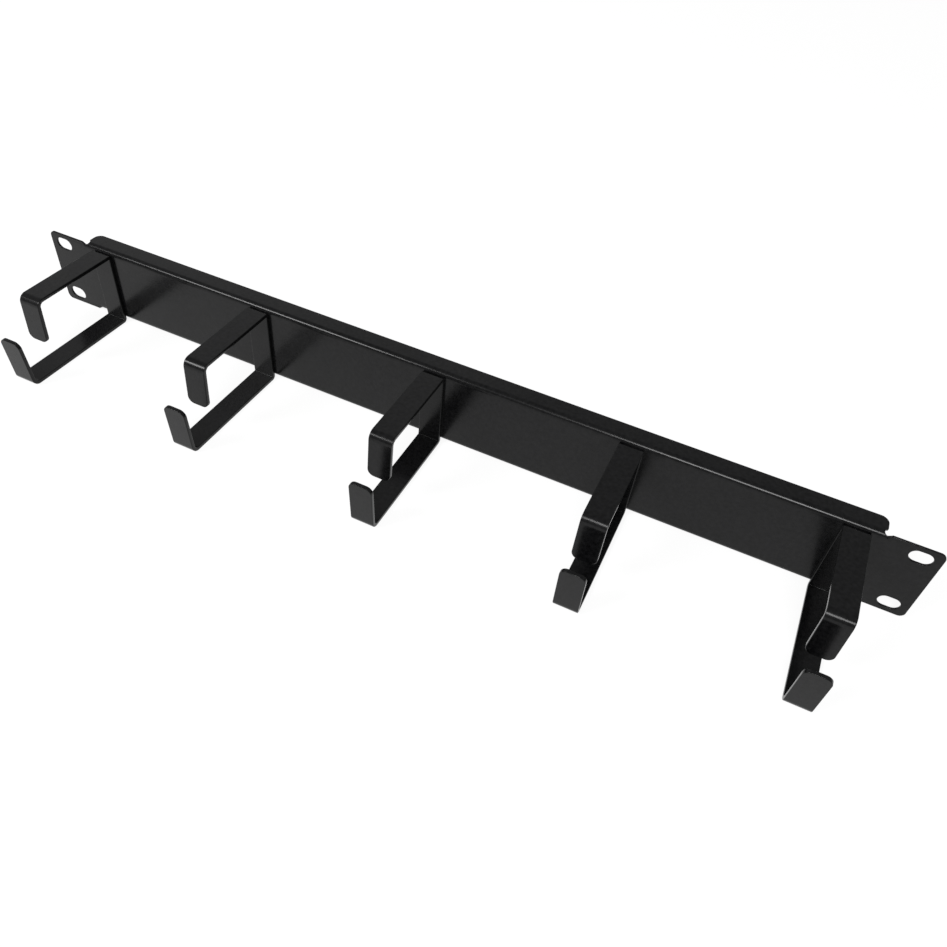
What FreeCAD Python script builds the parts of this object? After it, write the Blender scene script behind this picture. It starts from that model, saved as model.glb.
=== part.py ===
import FreeCAD, Part
import math
import os

# Horizontal cable manager for a 19 inch rack: a folded sheet panel one rack unit high, with a
# row of open rings bent from flat strip, spot welded along its front. Cables are laid across
# the rings and slip in through the gap between each ring's two fingers.
#
# Millimetres. +X runs along the rack's width, +Z up, and the front faces -Y.
# The origin is the panel's centre, on the plane where its ears meet the rack rails.

os.makedirs("parts", exist_ok=True)
Vector = FreeCAD.Vector

# ---- driving sizes: panel ----
panel_width = 482.6
panel_height = 43.6
sheet_thickness = 1.2
sheet_bend_radius = 0.8       # inside the folds
flange_depth = 10.0           # behind the mounting plane
flange_corner_radius = 3.8
ear_width = 24.9              # from the panel's end to the flange's end
ear_corner_radius = 3.0
relief_radius = 1.75          # round hole punched where each fold ends
relief_shift = 0.5            # its centre lies this far beyond the flange's end
relief_depth = 0.85           # it takes this much off the height of the ear
relief_corner_radius = 0.5    # where it runs out into the ear's edge
relief_tilt = 60.0            # degrees, folding turns the hole up this far from the front

# ---- driving sizes: mounting slots ----
slot_end_inset = 8.75         # slot centre to the panel's end
slot_edge_inset = 5.925       # slot centre to the panel's top or bottom edge
slot_length = 10.0
slot_height = 6.8

# ---- driving sizes: rings ----
ring_count = 5
ring_end_inset = 11.8         # middle of each end ring to the flange's end
ring_top_drop = 1.8           # the upper strap lies this far below the panel's top edge
ring_overhang = 1.5           # the lower strap hangs this far under the panel's bottom edge
strap_width = 12.0
strap_thickness = 2.0
strap_bend_radius = 2.3       # inside the bends
upper_reach = 53.3            # panel front to the outside of the upper finger's bend
lower_reach = 70.0            # panel front to the outside of the lower finger's bend
upper_finger_length = 25.0    # overall height, strap included
lower_finger_length = 28.0
finger_lean = 3.5             # degrees, each finger leans outward
finger_corner_radius = 3.5

# ---- driving sizes: spot welds ----
weld_diameter = 5.0
weld_dent_depth = 0.2         # electrode marks, shallow dishes in the panel's rear face
weld_spacing = 16.0           # two welds on each ring's back strap

# ---- derived places ----
panel_front = -sheet_thickness
panel_top = panel_height / 2
sheet_outer_radius = sheet_bend_radius + sheet_thickness
fold_line = panel_top - sheet_outer_radius
flange_half_length = panel_width / 2 - ear_width
relief_x = flange_half_length + relief_shift
relief_z = panel_top - relief_depth + relief_radius
slot_spacing_x = panel_width - 2 * slot_end_inset
slot_spacing_z = panel_height - 2 * slot_edge_inset
ring_pitch = 2 * (flange_half_length - ring_end_inset) / (ring_count - 1)
ring_bottom = -panel_top - ring_overhang
ring_top = panel_top - ring_top_drop
ring_centre_z = (ring_bottom + ring_top) / 2


def prism(face, length):
    """Solid made by moving a face in the YZ plane along +X."""
    return face.extrude(Vector(length, 0, 0))


def box(x_range, y_range, z_range):
    """Box between two X, two Y and two Z values."""
    low = Vector(min(x_range), min(y_range), min(z_range))
    size = [abs(r[1] - r[0]) for r in (x_range, y_range, z_range)]
    return Part.makeBox(size[0], size[1], size[2], low)


def rounded_path(corners, radius):
    """Edges of an open path through the corners, each inner corner turned into a tangent arc."""
    edges = []
    start = corners[0]
    for before, corner, after in zip(corners, corners[1:], corners[2:]):
        way_in = (corner - before).normalize()
        way_out = (after - corner).normalize()
        turn = way_in.getAngle(way_out)
        setback = radius * math.tan(turn / 2)
        arc_start = corner - way_in * setback
        arc_end = corner + way_out * setback
        inward = (way_out - way_in).normalize()
        centre = corner + inward * (radius / math.cos(turn / 2))
        arc_middle = centre - inward * radius
        edges.append(Part.makeLine(start, arc_start))
        edges.append(Part.Arc(arc_start, arc_middle, arc_end).toShape())
        start = arc_end
    edges.append(Part.makeLine(start, corners[-1]))
    return edges


def inset_corners(corners, distance):
    """Corners of the path that lies a distance inside an open path which always turns one way."""
    directions = [(b - a).normalize() for a, b in zip(corners, corners[1:])]
    bend = directions[0].cross(directions[1])
    normals = [bend.cross(d).normalize() for d in directions]
    inner = [corners[0] + normals[0] * distance]
    for corner, first, second in zip(corners[1:-1], normals, normals[1:]):
        bisector = first + second
        inner.append(corner + bisector * (2 * distance / bisector.dot(bisector)))
    inner.append(corners[-1] + normals[-1] * distance)
    return inner


def bent_section(corners, thickness, inner_radius):
    """Face of a strip's bent side view, from the sharp corners of its outer surface."""
    inner = inset_corners(corners, thickness)
    outer_edges = rounded_path(corners, inner_radius + thickness)
    inner_edges = rounded_path(inner, inner_radius)
    ends = [Part.makeLine(corners[0], inner[0]), Part.makeLine(corners[-1], inner[-1])]
    wire = Part.Wire(Part.__sortEdges__(outer_edges + inner_edges + ends))
    return Part.Face(wire)


def edges_at(solid, points):
    """Edges whose middle lies on one of the points."""
    return [e for e in solid.Edges
            if any(e.CenterOfMass.distanceToPoint(p) < 1e-4 for p in points)]


def obround(length, height, x, z):
    """Level slot cutter through the sheet, rounded at both ends."""
    half = (length - height) / 2
    radius = height / 2
    depth = (2 * panel_front, sheet_thickness)
    cutter = box((x - half, x + half), depth, (z - radius, z + radius))
    for end_x in (x - half, x + half):
        start = Vector(end_x, depth[0], z)
        cutter = cutter.fuse(Part.makeCylinder(radius, depth[1] - depth[0], start, Vector(0, 1, 0)))
    return cutter


def ear_relief(x_side, z_side):
    """Cutter for the part of a relief hole that lies in the ear."""
    start = Vector(x_side * relief_x, 2 * panel_front, z_side * relief_z)
    return Part.makeCylinder(relief_radius, 3 * sheet_thickness, start, Vector(0, 1, 0))


def fold_relief(x_side, z_side):
    """Cutter for the part of a relief hole that was folded back with the flange."""
    turn = (relief_z - fold_line) / sheet_outer_radius
    tilt = math.radians(relief_tilt)
    centre = Vector(x_side * relief_x,
                    panel_front + sheet_outer_radius * (1 - math.cos(turn)),
                    z_side * (fold_line + sheet_outer_radius * math.sin(turn)))
    inward = Vector(0, math.cos(tilt), -z_side * math.sin(tilt))
    start = centre - inward * sheet_thickness
    return Part.makeCylinder(relief_radius, 3 * sheet_thickness, start, inward)


def web_and_ears():
    """Flat middle of the panel: as high as the ears at its ends, up to the fold lines between."""
    web = box((-panel_width / 2, panel_width / 2), (panel_front, 0), (-panel_top, panel_top))
    relief_half_width = math.sqrt(relief_radius ** 2 - (relief_z - panel_top) ** 2)
    outer_corners = []
    inner_corners = []
    for z in (-1, 1):
        above_fold = (z * fold_line, z * panel_top)
        web = web.cut(box((-flange_half_length, flange_half_length), (panel_front, 0), above_fold))
        for x in (-1, 1):
            web = web.cut(ear_relief(x, z))
            web = web.cut(obround(slot_length, slot_height,
                                  x * slot_spacing_x / 2, z * slot_spacing_z / 2))
            outer_corners.append(Vector(x * panel_width / 2, panel_front / 2, z * panel_top))
            inner_corners.append(Vector(x * (relief_x + relief_half_width),
                                        panel_front / 2, z * panel_top))
    web = web.makeFillet(ear_corner_radius, edges_at(web, outer_corners))
    return web.makeFillet(relief_corner_radius, edges_at(web, inner_corners))


def flange(z_side):
    """Flange along the panel's top (1) or bottom (-1), with its fold and a strip of the web."""
    start = -flange_half_length
    edge = z_side * panel_top
    corners = [Vector(start, panel_front, z_side * (fold_line - sheet_outer_radius)),
               Vector(start, panel_front, edge),
               Vector(start, flange_depth, edge)]
    bend = prism(bent_section(corners, sheet_thickness, sheet_bend_radius), 2 * flange_half_length)
    rear_corners = [Vector(x * flange_half_length, flange_depth, edge - z_side * sheet_thickness / 2)
                    for x in (-1, 1)]
    bend = bend.makeFillet(flange_corner_radius, edges_at(bend, rear_corners))
    return bend.cut(fold_relief(-1, z_side)).cut(fold_relief(1, z_side))


def front_panel():
    """Folded panel: web and ears in one plane, a flange folded back along the top and bottom."""
    panel = web_and_ears().fuse([flange(-1), flange(1)])
    for x in ring_places():
        for z in (-1, 1):
            panel = panel.cut(weld_dent(x, ring_centre_z + z * weld_spacing / 2))
    return panel.removeSplitter()


def weld_dent(x, z):
    """Lens to cut from the panel's rear face: the lowest cap of a ball, as wide as the weld."""
    radius = weld_diameter / 2
    ball_radius = (radius ** 2 + weld_dent_depth ** 2) / (2 * weld_dent_depth)
    ball = Part.makeSphere(ball_radius, Vector(x, ball_radius - weld_dent_depth, z))
    cap = box((x - radius, x + radius), (-weld_dent_depth, 0), (z - radius, z + radius))
    return ball.common(cap).Solids[0]


def ring_places():
    """X of each ring's centre, evenly spaced about the panel's middle."""
    return [(i - (ring_count - 1) / 2) * ring_pitch for i in range(ring_count)]


def cable_ring(x):
    """Open ring bent from flat strip, its back lying on the panel's front face."""
    lean = math.tan(math.radians(finger_lean))
    upper_front = panel_front - upper_reach
    lower_front = panel_front - lower_reach
    left = x - strap_width / 2
    upper_tip = Vector(left, upper_front - lean * upper_finger_length, ring_top - upper_finger_length)
    lower_tip = Vector(left, lower_front - lean * lower_finger_length,
                       ring_bottom + lower_finger_length)
    corners = [upper_tip,
               Vector(left, upper_front, ring_top),
               Vector(left, panel_front, ring_top),
               Vector(left, panel_front, ring_bottom),
               Vector(left, lower_front, ring_bottom),
               lower_tip]
    ring = prism(bent_section(corners, strap_thickness, strap_bend_radius), strap_width)
    inner = inset_corners(corners, strap_thickness)
    tip_middles = [(corners[0] + inner[0]) / 2, (corners[-1] + inner[-1]) / 2]
    tip_corners = [middle + Vector(dx, 0, 0) for middle in tip_middles for dx in (0, strap_width)]
    return ring.makeFillet(finger_corner_radius, edges_at(ring, tip_corners))


front_panel().exportStep("parts/front_panel.step")
for number, place in enumerate(ring_places(), start=1):
    cable_ring(place).exportStep(f"parts/cable_ring_{number}.step")
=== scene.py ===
import math

import bmesh
import bpy
import numpy as np
from mathutils import Matrix, Vector, geometry


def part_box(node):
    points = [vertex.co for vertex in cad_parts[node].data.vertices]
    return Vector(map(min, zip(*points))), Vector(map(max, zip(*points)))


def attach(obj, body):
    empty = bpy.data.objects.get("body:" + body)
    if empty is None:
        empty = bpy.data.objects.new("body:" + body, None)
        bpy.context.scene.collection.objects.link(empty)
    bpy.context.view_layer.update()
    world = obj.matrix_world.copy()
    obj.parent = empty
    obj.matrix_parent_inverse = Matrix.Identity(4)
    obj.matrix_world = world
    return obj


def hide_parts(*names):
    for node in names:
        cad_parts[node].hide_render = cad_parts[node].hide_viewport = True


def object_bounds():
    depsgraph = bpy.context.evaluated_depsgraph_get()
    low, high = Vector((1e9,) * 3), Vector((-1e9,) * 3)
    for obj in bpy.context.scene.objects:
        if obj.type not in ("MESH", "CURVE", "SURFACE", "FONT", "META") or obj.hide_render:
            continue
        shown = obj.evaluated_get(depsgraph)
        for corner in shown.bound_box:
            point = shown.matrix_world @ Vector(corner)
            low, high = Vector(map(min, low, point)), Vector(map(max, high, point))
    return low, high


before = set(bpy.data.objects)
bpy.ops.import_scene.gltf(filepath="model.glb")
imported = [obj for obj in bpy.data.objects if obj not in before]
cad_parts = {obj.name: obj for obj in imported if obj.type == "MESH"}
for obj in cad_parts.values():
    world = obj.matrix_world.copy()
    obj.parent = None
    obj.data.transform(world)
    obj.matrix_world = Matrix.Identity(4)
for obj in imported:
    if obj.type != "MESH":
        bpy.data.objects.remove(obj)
cad_box = [[float(c) for c in corner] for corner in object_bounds()]

# ---------------------------------------------------------------------------------------------
# Front panel: one sheet of 1.2 mm steel, cut as a flat blank with its slots and corner reliefs,
# then folded back along the top and bottom. Behind each ring two spot welds leave a shallow
# round dish. The whole is powder coated black, which softens the cut edges a little.

MM = 0.001
panel_low, panel_high = (np.array(corner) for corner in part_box("front_panel"))
ear_top = panel_high[2]
sheet = 1.2 * MM
fold_radius = 3.0 * MM            # outside of the folds
sheet_edge = 0.25 * MM            # rounding of the coated edge
ear_corner = 3.0 * MM
flange_end = 216.4 * MM           # from the panel's middle
flange_corner = 3.8 * MM
relief = np.array([216.9, 22.7]) * MM     # middle of the round hole, in the flat blank
relief_radius = 1.75 * MM
relief_corner = 0.5 * MM          # rounding where the hole runs out into an edge
relief_ease = 1.2 * MM            # the ear is flat this far from the flange's end
slot_middle = np.array([465.1, 31.75]) * MM / 2
slot_length = 10.0 * MM
slot_height = 6.8 * MM
weld_radius = 2.5 * MM
weld_depth = 0.2 * MM
weld_rise = 8.0 * MM              # each weld above or below its ring's middle
weld_rings = 5                    # rings of edges that shape each dish
fold_step = math.radians(11.25)   # turn of the sheet between two rows of edges
flat_margin = 0.3 * MM            # a row of edges this far beside a bend keeps the flat flat
band_ratio = 1.6                  # flat band beside a rounded edge, in radii of that edge
same_row = 1e-9                   # points this near a row lie on it
same_point = 3e-7                 # points of the two faces and the edge strip merge within this


class Fold:
    """The outer surface of folded strip, seen from its end, as a function of length along it.

    The line through the corners is straight runs joined by arcs, and always turns the same
    way. A point at length s and depth w under the outer surface is the point of the line at
    s, moved w along the line's inward normal.
    """

    def __init__(self, corners, radii):
        corners = np.array(corners, float)
        runs = np.diff(corners, axis=0)
        self.headings = np.unwrap(np.arctan2(runs[:, 1], runs[:, 0]))
        self.turns = np.abs(np.diff(self.headings))
        self.side = math.copysign(1, self.headings[1] - self.headings[0])
        self.radii = np.array(radii, float)
        setbacks = np.concatenate([[0], self.radii * np.tan(self.turns / 2), [0]])
        straight = np.linalg.norm(runs, axis=1) - setbacks[:-1] - setbacks[1:]
        self.run_starts = np.cumsum(np.append(0, straight[:-1] + self.turns * self.radii))
        self.run_ends = self.run_starts + straight
        self.length = self.run_ends[-1]
        along = np.stack([np.cos(self.headings), np.sin(self.headings)], axis=1)
        self.anchors = corners[:-1] + along * setbacks[:-1, None]

    def inward(self, heading):
        return self.side * np.stack([-np.sin(heading), np.cos(heading)], axis=-1)

    def place(self, s, w):
        """Returns the two coordinates of the points at lengths s and depths w."""
        run = np.clip(np.searchsorted(self.run_starts, s, side="right") - 1, 0, None)
        past = np.clip(s - self.run_ends[run], 0, None)
        heading = self.headings[run]
        radius = np.append(self.radii, self.radii[-1])[run]
        turned = heading + self.side * past / radius
        forward = np.stack([np.cos(heading), np.sin(heading)], axis=-1)
        on_run = self.anchors[run] + forward * (s - self.run_starts[run] - past)[:, None]
        centre = on_run + self.inward(heading) * radius[:, None]
        return centre - self.inward(turned) * (radius - w)[:, None]

    def rows(self, step):
        """Lengths at which the strip needs a row of edges: through each bend and beside it."""
        rows = []
        for start, turn, radius in zip(self.run_ends, self.turns, self.radii):
            end = start + turn * radius
            count = round(turn / step) + 1
            rows += [start - flat_margin, *np.linspace(start, end, count), end + flat_margin]
        return np.array(rows)


def arc(centre, radius, start, end, count):
    """Points on a circle's arc between two angles in degrees, both ends included."""
    angle = np.radians(np.linspace(start, end, count))
    return np.array(centre) + radius * np.stack([np.cos(angle), np.sin(angle)], axis=1)


def inset_moves(loop):
    """For each corner of an anticlockwise loop, the move that insets both its edges by one."""
    ahead = np.roll(loop, -1, axis=0) - loop
    ahead /= np.linalg.norm(ahead, axis=1)[:, None]
    normal = np.stack([-ahead[:, 1], ahead[:, 0]], axis=1)
    both = normal + np.roll(normal, 1, axis=0)
    return both * (2 / np.sum(both * both, axis=1))[:, None]


def split_at_rows(loop, moves, inset, rows):
    """Adds a corner to the loop wherever, once inset, it crosses one of the rows.

    The loop and its moves are taken at the same fraction of the edge, so that every inset of
    the loop has the new corner at one place along it.
    """
    here = loop + moves * inset
    there = np.roll(here, -1, axis=0)
    edge, row = np.nonzero((here[:, 1, None] - rows) * (there[:, 1, None] - rows) < 0)
    fraction = (rows[row] - here[edge, 1]) / (there[edge, 1] - here[edge, 1])
    order = np.lexsort((fraction, edge))
    edge, fraction = edge[order], fraction[order, None]
    added = [old[edge] * (1 - fraction) + np.roll(old, -1, axis=0)[edge] * fraction
             for old in (loop, moves)]
    return (np.insert(loop, edge + 1, added[0], axis=0),
            np.insert(moves, edge + 1, added[1], axis=0))


def inside(points, loop):
    """True for each point with an odd number of the loop's edges to its right."""
    a, b = loop, np.roll(loop, -1, axis=0)
    x, y = points[:, 0, None], points[:, 1, None]
    spans = (a[:, 1] > y) != (b[:, 1] > y)
    rise = np.where(a[:, 1] == b[:, 1], 1, b[:, 1] - a[:, 1])
    meet = a[:, 0] + (y - a[:, 1]) * (b[:, 0] - a[:, 0]) / rise
    return np.sum(spans & (x < meet), axis=1) % 2 == 1


def closed_edges(start, count):
    """Pairs of neighbours round a loop of points, the first of which has number start."""
    step = np.arange(count)
    return np.stack([step, (step + 1) % count], axis=1) + start


def edge_strip(loop, moves, thickness, edge_radius, band):
    """Grid round one loop: flat band, quarter circle, wall, quarter circle, flat band.

    Row j lies inset and deep by (r(1 - cos a), r(1 - sin a)) as a falls from 90 to 0 degrees,
    and the same again from the other face. Returns the points as (x, y, depth) and the quads.
    """
    quarter = np.radians([90, 60, 30, 0])
    inset = edge_radius * (1 - np.cos(quarter))
    drop = edge_radius * (1 - np.sin(quarter))
    inset = np.concatenate([[band], inset, inset[::-1], [band]])
    depth = np.concatenate([[0], drop, thickness - drop[::-1], [thickness]])
    flat = loop[None] + moves[None] * inset[:, None, None]
    deep = np.broadcast_to(depth[:, None, None], (*flat.shape[:2], 1))
    points = np.concatenate([flat, deep], axis=2)
    row, place = np.meshgrid(np.arange(len(inset) - 1), np.arange(len(loop)), indexing="ij")
    here, there = row * len(loop) + place, row * len(loop) + (place + 1) % len(loop)
    quads = np.stack([here, there, there + len(loop), here + len(loop)], axis=-1)
    return points.reshape(-1, 3), quads.reshape(-1, 4)


def folded_blank(name, outline, holes, thickness, edge_radius, rows, to_space,
                 columns=(), dents=()):
    """A flat blank with softly rounded edges, carried into space by its fold.

    The blank is the area inside the outline and outside the holes, from depth 0 to its
    thickness. An edge strip runs round each loop, and triangles fill both faces, with edges
    along the rows so that the faces bend where the sheet does. A dent is a round dish in the
    inner face, deepest in its middle: depth falls with the square of the way to its rim.
    """
    band = band_ratio * edge_radius
    points, faces, rims, rim_edges = [], [], [], []
    count = rim_count = 0
    for loop in (outline, *holes):
        loop, moves = split_at_rows(loop, inset_moves(loop), band, rows)
        strip, quads = edge_strip(loop, moves, thickness, edge_radius, band)
        points.append(strip)
        faces.append(quads + count)
        count += len(strip)
        rims.append(strip[:len(loop), :2])
        rim_edges.append(closed_edges(rim_count, len(loop)))
        rim_count += len(loop)

    flat_points, flat_edges = [np.concatenate(rims)], rim_edges
    for row in rows:
        on_row = np.nonzero(np.abs(flat_points[0][:, 1] - row) < same_row)[0]
        on_row = on_row[np.argsort(flat_points[0][on_row, 0])]
        flat_edges.append(on_row.reshape(-1, 2))
    if len(columns):
        flat_points.append(np.stack(np.meshgrid(columns, rows), axis=-1).reshape(-1, 2))
        rim_count += len(flat_points[-1])
    for centre in dents:
        for share in np.arange(weld_rings, 0, -1) / weld_rings:
            circle = arc(centre, weld_radius * share, 0, 345, 24)
            flat_points.append(circle)
            flat_edges.append(closed_edges(rim_count, len(circle)))
            rim_count += len(circle)

    net = geometry.delaunay_2d_cdt([Vector(p) for p in np.concatenate(flat_points) / MM],
                                   np.concatenate(flat_edges).tolist(), [], 0, 1e-6)
    net_points = np.array([tuple(p) for p in net[0]]) * MM
    triangles = np.array(net[2])
    middles = net_points[triangles].mean(axis=1)
    wanted = inside(middles, rims[0])
    for rim in rims[1:]:
        wanted &= ~inside(middles, rim)
    triangles = triangles[wanted]
    dish = np.zeros(len(net_points))
    for centre in dents:
        away = np.linalg.norm(net_points - centre, axis=1)
        dish = np.maximum(dish, weld_depth * (1 - (away / weld_radius) ** 2))
    for depth, order in ((np.zeros(len(net_points)), -1), (thickness - dish, 1)):
        points.append(np.column_stack([net_points, depth]))
        faces.append(triangles[:, ::order] + count)
        count += len(net_points)

    mesh = bpy.data.meshes.new(name)
    faces = [face for group in faces for face in group.tolist()]
    mesh.from_pydata(to_space(np.concatenate(points)), [], faces)
    shell = bmesh.new()
    shell.from_mesh(mesh)
    bmesh.ops.remove_doubles(shell, verts=shell.verts, dist=same_point)
    bmesh.ops.delete(shell, geom=[v for v in shell.verts if not v.link_faces], context="VERTS")
    bmesh.ops.recalc_face_normals(shell, faces=shell.faces)
    shell.to_mesh(mesh)
    shell.free()
    mesh.shade_smooth()
    piece = bpy.data.objects.new(name, mesh)
    bpy.context.scene.collection.objects.link(piece)
    return piece


panel_fold = Fold([(panel_high[1], panel_low[2]), (panel_low[1], panel_low[2]),
                   (panel_low[1], panel_high[2]), (panel_high[1], panel_high[2])],
                  [fold_radius, fold_radius])
blank_top = panel_fold.length / 2


def fold_panel(blank):
    """Folds (x, height, depth): between the reliefs by the fold, and flat in the ears.

    Beside each relief the sheet eases from one to the other as 3t^2 - 2t^3.
    """
    x, height, depth = blank.T
    folded = panel_fold.place(height + blank_top, depth)
    flat = np.stack([panel_low[1] + depth, height], axis=1)
    t = np.clip((np.abs(x) - flange_end) / relief_ease, 0, 1)[:, None]
    ease = t * t * (3 - 2 * t)
    return np.column_stack([x, folded * (1 - ease) + flat * ease])


reach = relief_radius + relief_corner
ear_blend = np.array([math.sqrt(reach ** 2 - (relief[1] - ear_top + relief_corner) ** 2),
                      ear_top - relief_corner - relief[1]])
end_blend = np.array([flange_end - relief_corner - relief[0],
                      math.sqrt(reach ** 2 - (flange_end - relief_corner - relief[0]) ** 2)])
ear_turn = math.degrees(math.atan2(ear_blend[1], ear_blend[0]))
end_turn = math.degrees(math.atan2(end_blend[1], end_blend[0]))
quarter = np.concatenate([
    arc((panel_high[0] - ear_corner, ear_top - ear_corner), ear_corner, 0, 90, 10),
    arc(relief + ear_blend, relief_corner, 90, 180 + ear_turn, 5),
    arc(relief, relief_radius, ear_turn, end_turn - 360, 22)[1:-1],
    arc(relief + end_blend, relief_corner, end_turn - 180, 0, 5),
    arc((flange_end - flange_corner, blank_top - flange_corner), flange_corner, 0, 90, 12)])
outline = np.concatenate([quarter, (quarter * (-1, 1))[::-1],
                          -quarter, (quarter * (1, -1))[::-1]])
slot = np.concatenate([arc(((slot_length - slot_height) / 2, 0), slot_height / 2, 90, -90, 17),
                       arc(((slot_height - slot_length) / 2, 0), slot_height / 2, -90, -270, 17)])
slots = [slot + slot_middle * (x, z) for x in (-1, 1) for z in (-1, 1)]
ring_boxes = [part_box(f"cable_ring_{number}") for number in range(1, 6)]
welds = [np.array([(low.x + high.x) / 2, (low.z + high.z) / 2 + rise])
         for low, high in ring_boxes for rise in (-weld_rise, weld_rise)]
ease_columns = [side * (flange_end + relief_ease * t)
                for side in (-1, 1) for t in np.linspace(0, 1, 7)]
fold_rows = panel_fold.rows(fold_step) - blank_top
panel = folded_blank("folded_panel", outline, slots, sheet, sheet_edge, fold_rows, fold_panel,
                     ease_columns, welds)


class Shade:
    """One output of a shader node. Arithmetic on it adds Math nodes to its tree."""

    def __init__(self, tree, output=None):
        self.tree = tree
        self.output = output

    def node(self, kind, settings=None, inputs=None, output=0):
        """Adds a node of a type: its settings first, then the values or links of its sockets."""
        node = self.tree.nodes.new(kind)
        for name, value in (settings or {}).items():
            setattr(node, name, value)
        for name, value in (inputs or {}).items():
            if isinstance(value, Shade):
                self.tree.links.new(value.output, node.inputs[name])
            else:
                node.inputs[name].default_value = value
        return Shade(self.tree, node.outputs[output] if node.outputs else None)

    def maths(self, operation, first, second):
        return self.node("ShaderNodeMath", {"operation": operation}, {0: first, 1: second})

    def __add__(self, other):
        return self.maths("ADD", self, other)

    def __sub__(self, other):
        return self.maths("SUBTRACT", self, other)

    def __mul__(self, other):
        return self.maths("MULTIPLY", self, other)

    __radd__ = __add__
    __rmul__ = __mul__

    def blend(self, low, high):
        """The colour this share of the way from one to the other."""
        return self.node("ShaderNodeMix", {"data_type": "RGBA"}, {0: self, 6: low, 7: high},
                         output=2)

    def noise(self, scale, detail, distortion=0.0):
        """Noise from 0 to 1 at these coordinates."""
        return self.node("ShaderNodeTexNoise", inputs={
            "Vector": self, "Scale": scale, "Detail": detail, "Distortion": distortion})


def new_material(name):
    """Returns an empty material and its object coordinates."""
    material = bpy.data.materials.new(name)
    material.use_nodes = True
    material.node_tree.nodes.clear()
    return material, Shade(material.node_tree).node("ShaderNodeTexCoord", output="Object")


# Black satin powder coat: baked on as a film with a fine, low orange peel. Dry handling leaves
# it a little uneven in gloss, and a thin dust greys the base in small specks and wide clouds.
coat, place = new_material("black_powder_coat")
clouds = place.noise(22.0, 4.0)
smears = place.noise(75.0, 3.0, 0.8)
peel = place.noise(850.0, 2.0)
grain = place.noise(3200.0, 1.0)
dust = 0.5 + 2.2 * (place.noise(560.0, 4.0) - 0.5) + 0.8 * (clouds - 0.5)
gloss = 0.20 + 0.10 * (clouds - 0.5) + 0.08 * (smears - 0.5) + 0.05 * (grain - 0.5)
black = dust.blend((0.0010, 0.0010, 0.0012, 1.0), (0.0068, 0.0068, 0.0072, 1.0))
skin = place.node("ShaderNodeBump", inputs={
    "Strength": 1.0, "Distance": 2.5e-6, "Height": peel + 0.35 * grain})
coated = place.node("ShaderNodeBsdfPrincipled", inputs={
    "Base Color": black, "Roughness": gloss, "Normal": skin, "IOR": 1.30})
place.node("ShaderNodeOutputMaterial", inputs={"Surface": coated})

panel.data.materials.append(coat)
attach(panel, "root")
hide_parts("front_panel")

# ---------------------------------------------------------------------------------------------
# Cable rings: five open rings, each bent from one 12 by 2 mm steel strip with rounded ends, its
# back spot welded to the panel. Both fingers lean outward, and the lower one stands further
# out, so that cables slip in between them. They are coated together with the panel.

strap = 2.0 * MM
strap_edge = 0.25 * MM
front_bend = 4.3 * MM             # outside of the bends at the fingers
rear_bend = 2.3 * MM              # outside of the tighter bends at the panel
upper_reach = 53.3 * MM           # from the panel to the outside of each finger's bend
lower_reach = 70.0 * MM
upper_finger = 25.0 * MM
lower_finger = 28.0 * MM
lean = math.tan(math.radians(3.5))        # outward, for each unit of height
finger_corner = 3.5 * MM
bend_step = math.radians(9)       # turn of the strip between two rows of edges
# Side of each rounded corner in x and y, and the angle in degrees at which its arc starts.
quarters = ((1, 1, 0), (-1, 1, 90), (-1, -1, 180), (1, -1, 270))

for number, (low, high) in enumerate(ring_boxes, start=1):
    upper_y, lower_y = high.y - upper_reach, high.y - lower_reach
    ring_fold = Fold([(upper_y - lean * upper_finger, high.z - upper_finger), (upper_y, high.z),
                      (high.y, high.z), (high.y, low.z), (lower_y, low.z),
                      (lower_y - lean * lower_finger, low.z + lower_finger)],
                     [front_bend, rear_bend, rear_bend, front_bend])
    corner = np.array([high.x - low.x, ring_fold.length]) / 2 - finger_corner
    strip_outline = np.concatenate([arc(corner * (x, y), finger_corner, start, start + 90, 12)
                                    for x, y, start in quarters])

    def bend_strip(blank):
        """Bends (x, length from the strip's middle, depth) round the ring."""
        bent = ring_fold.place(blank[:, 1] + ring_fold.length / 2, blank[:, 2])
        return np.column_stack([blank[:, 0] + (low.x + high.x) / 2, bent])

    ring = folded_blank(f"bent_ring_{number}", strip_outline, [], strap, strap_edge,
                        ring_fold.rows(bend_step) - ring_fold.length / 2, bend_strip)
    ring.data.materials.append(coat)
    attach(ring, "root")
    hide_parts(f"cable_ring_{number}")

# ---------------------------------------------------------------------------------------------
# Studio: a wide sheet of white paper under the rings, two soft lamps in front and above, and a
# faint wide one behind on the left, in a dim grey room. The paper is plain white to the eye and
# in what the coating mirrors.

floor_level = cad_box[0][2]
floor_reach = 6.0
paper_glow = 0.87                 # with the light that the paper scatters, it shows white
paper_grey = 0.16                 # dim, so that the paper throws little light on the object
room_grey = 0.38
corners = [(x * floor_reach, y * floor_reach, floor_level)
           for x, y in ((-1, -1), (1, -1), (1, 1), (-1, 1))]
floor_mesh = bpy.data.meshes.new("white_sheet")
floor_mesh.from_pydata(corners, [], [(0, 1, 2, 3)])
floor = bpy.data.objects.new("white_sheet", floor_mesh)
bpy.context.scene.collection.objects.link(floor)
paper, place = new_material("white_paper")
seen = 0.0
for ray in ("Is Camera Ray", "Is Glossy Ray", "Is Transmission Ray"):
    seen = place.maths("MAXIMUM", seen, place.node("ShaderNodeLightPath", output=ray))
white = place.node("ShaderNodeEmission", inputs={
    "Color": (1, 1, 1, 1), "Strength": paper_glow * seen})
matte = place.node("ShaderNodeBsdfDiffuse", inputs={"Color": (*[paper_grey] * 3, 1)})
both = place.node("ShaderNodeAddShader", inputs={0: white, 1: matte})
place.node("ShaderNodeOutputMaterial", inputs={"Surface": both})
floor_mesh.materials.append(paper)

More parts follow.
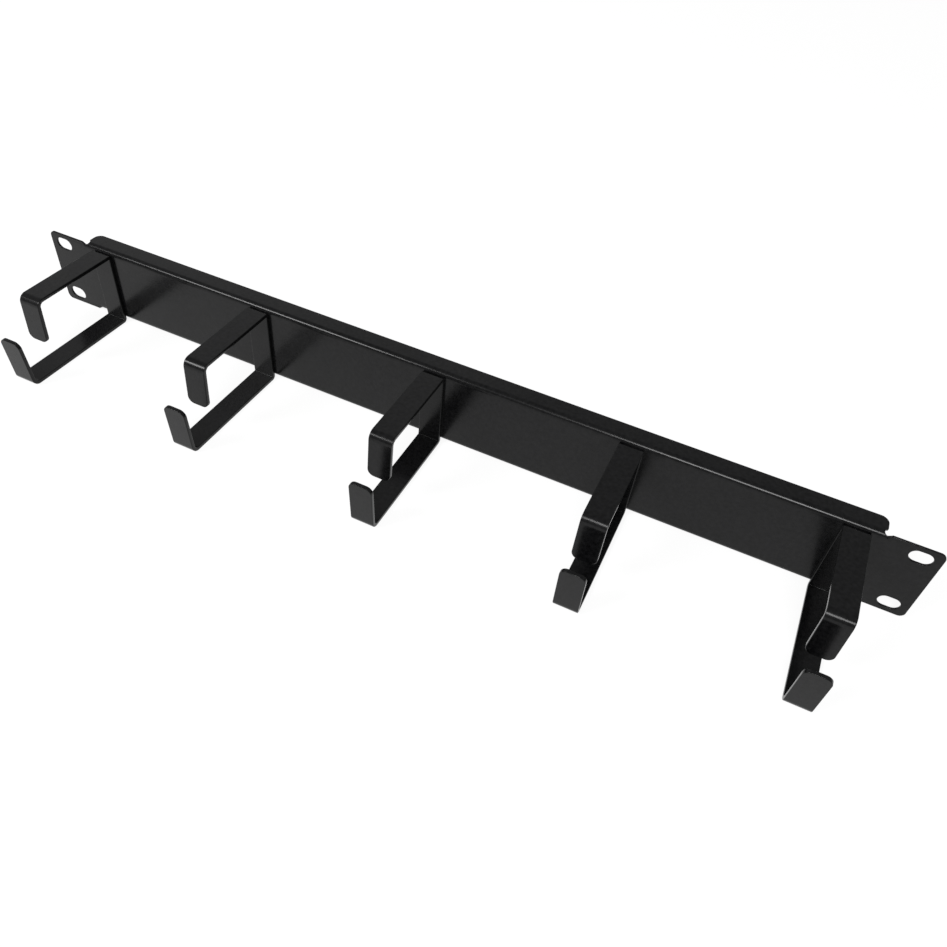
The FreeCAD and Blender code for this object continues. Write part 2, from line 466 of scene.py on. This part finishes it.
world = bpy.data.worlds.new("room")
bpy.context.scene.world = world
world.use_nodes = True
world.node_tree.nodes.clear()
room = Shade(world.node_tree)
walls = room.node("ShaderNodeBackground", inputs={
    "Color": (*[room_grey] * 3, 1), "Strength": 1.0})
room.node("ShaderNodeOutputWorld", inputs={"Surface": walls})


def strip_lamp(name, left, right, distance, height, rise, radiance):
    """A long rectangular lamp parallel to the rack, turned to face the object's middle line.

    It reaches from left to right along the rack, all in metres, and its middle stands at a
    distance from that line and at an angle of rise, in degrees, up from the front. Seen
    directly, a lamp of radiance 1 is plain white.
    """
    lamp = bpy.data.lights.new(name, "AREA")
    lamp.shape = "RECTANGLE"
    lamp.size, lamp.size_y = right - left, height
    lamp.energy = radiance * math.pi * lamp.size * lamp.size_y
    lamp_object = bpy.data.objects.new(name, lamp)
    tilt = math.radians(rise)
    place = Vector(((left + right) / 2, -distance * math.cos(tilt), distance * math.sin(tilt)))
    facing = Matrix.Rotation(math.pi / 2 - tilt, 4, "X")
    lamp_object.matrix_world = Matrix.Translation(place) @ facing
    bpy.context.scene.collection.objects.link(lamp_object)


strip_lamp("left_lamp", -2.45, -1.25, 3.0, 0.85, 45, 19.5)
strip_lamp("right_lamp", -0.17, 0.85, 3.0, 0.85, 45, 19.5)
strip_lamp("rear_lamp", -4.5, -0.7, 3.0, 2.2, 135, 0.17)

# Camera: above and in front of the rings, a little to the right, and slightly rolled.
aim = Vector((39.27, -35.52, 0.0)) * MM
camera_distance = 391.44          # millimetres
azimuth, elevation, roll = (math.radians(angle) for angle in (20.285, 45.128, 6.754))
away = Vector((math.sin(azimuth) * math.cos(elevation), -math.cos(azimuth) * math.cos(elevation),
               math.sin(elevation)))
lens = bpy.data.cameras.new("camera")
lens.lens = 31.8
lens.sensor_width = 36
lens.clip_start = 0.01
camera = bpy.data.objects.new("camera", lens)
turned = away.to_track_quat("Z", "Y").to_matrix().to_4x4() @ Matrix.Rotation(roll, 4, "Z")
camera.matrix_world = Matrix.Translation(aim + away * camera_distance * MM) @ turned
bpy.context.scene.collection.objects.link(camera)
bpy.context.scene.camera = camera
bpy.context.scene.view_settings.view_transform = "Standard"

bpy.context.view_layer.update()
